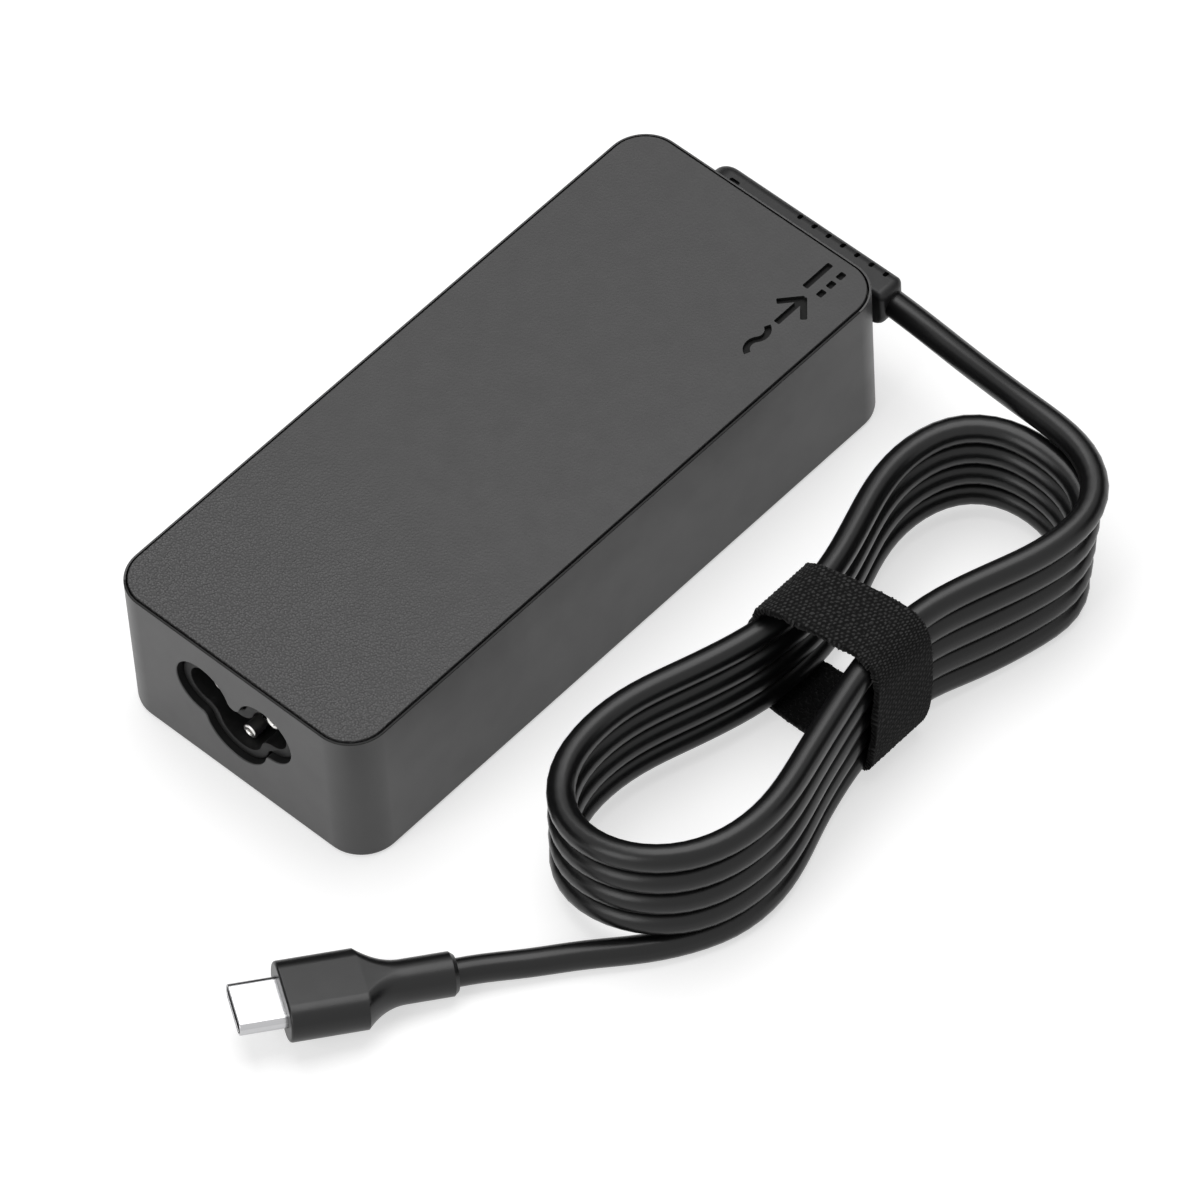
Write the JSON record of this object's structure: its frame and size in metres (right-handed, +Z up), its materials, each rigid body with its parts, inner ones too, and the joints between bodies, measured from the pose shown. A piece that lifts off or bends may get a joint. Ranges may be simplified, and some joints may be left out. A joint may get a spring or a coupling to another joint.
{
  "type": "laptop power adapter",
  "caption": "Laptop power adapter: rounded case with an earthed mains inlet, a ribbed right-angle cord boot, and a cord wound in a tied hank that ends in a flat oval power plug.",
  "frame": {"origin": "centre of the case's bottom face, on the surface that the adapter stands on", "axes": "+X along the case from the mains inlet to the cord boot, -Y towards the side where the tied cord lies, +Z up"},
  "size_m": [0.1474, 0.0934, 0.0256],
  "materials": {
    "case_plastic": "dark grey moulded plastic, fine spark-eroded grain on top and satin sides",
    "boot_rubber": "satin black elastomer",
    "cord_jacket": "smooth black jacket with a soft sheen",
    "strap_weave": "black woven hook-and-loop",
    "plug_rubber": "matt black overmould",
    "black_plastic": "black moulded plastic",
    "bright_steel": "bright drawn steel",
    "pin_metal": "nickel-plated",
    "contact_brass": "plated brass",
    "copper_wire": "enamelled winding wire",
    "plain_aluminium": "plain sheet and can",
    "board_laminate": "green solder mask",
    "ferrite": "dark sintered ferrite",
    "winding_tape": "yellow polyester tape",
    "ceramic_coat": "blue dipped coating",
    "capacitor_sleeve": "dark blue shrink sleeve",
    "capacitor_case": "yellow box",
    "barrier_sheet": "natural polyester sheet",
    "red_insulation": "red insulation",
    "thermal_silicone": "grey gap pad"
  },
  "bodies": {
    "root": {"case_shell": "case_plastic", "case_cover": "case_plastic", "inlet_housing": "black_plastic", "inlet_pin_line": "pin_metal", "inlet_pin_neutral": "pin_metal", "inlet_pin_earth": "pin_metal", "circuit_board": "board_laminate", "fuse": "black_plastic", "thermistor": "ferrite", "x_capacitor": "capacitor_case", "choke_core": "ferrite", "choke_winding_line": "copper_wire", "choke_winding_neutral": "copper_wire", "bridge_rectifier": "black_plastic", "bulk_capacitor": "capacitor_sleeve", "heat_sink": "plain_aluminium", "power_transistor": "black_plastic", "primary_controller": "black_plastic", "transformer_core_lower": "ferrite", "transformer_core_upper": "ferrite", "transformer_winding": "winding_tape", "thermal_pad": "thermal_silicone", "optocoupler": "black_plastic", "y_capacitor": "ceramic_coat", "isolation_barrier": "barrier_sheet", "output_capacitor_1": "plain_aluminium", "output_capacitor_2": "plain_aluminium", "output_inductor": "ferrite", "output_rectifier": "black_plastic", "port_controller": "black_plastic", "terminal_positive": "contact_brass", "terminal_negative": "contact_brass", "wire_positive": "red_insulation", "wire_negative": "black_plastic", "heat_spreader": "plain_aluminium", "boot": "boot_rubber", "cord_lead_in": "cord_jacket", "cord_hank": "cord_jacket", "cord_lead_out": "cord_jacket", "strap": "strap_weave", "plug_body": "plug_rubber", "plug_contact_shell": "bright_steel", "plug_insert": "black_plastic", "plug_contacts_upper": "contact_brass", "plug_contacts_lower": "contact_brass"}
  },
  "joints": []
}
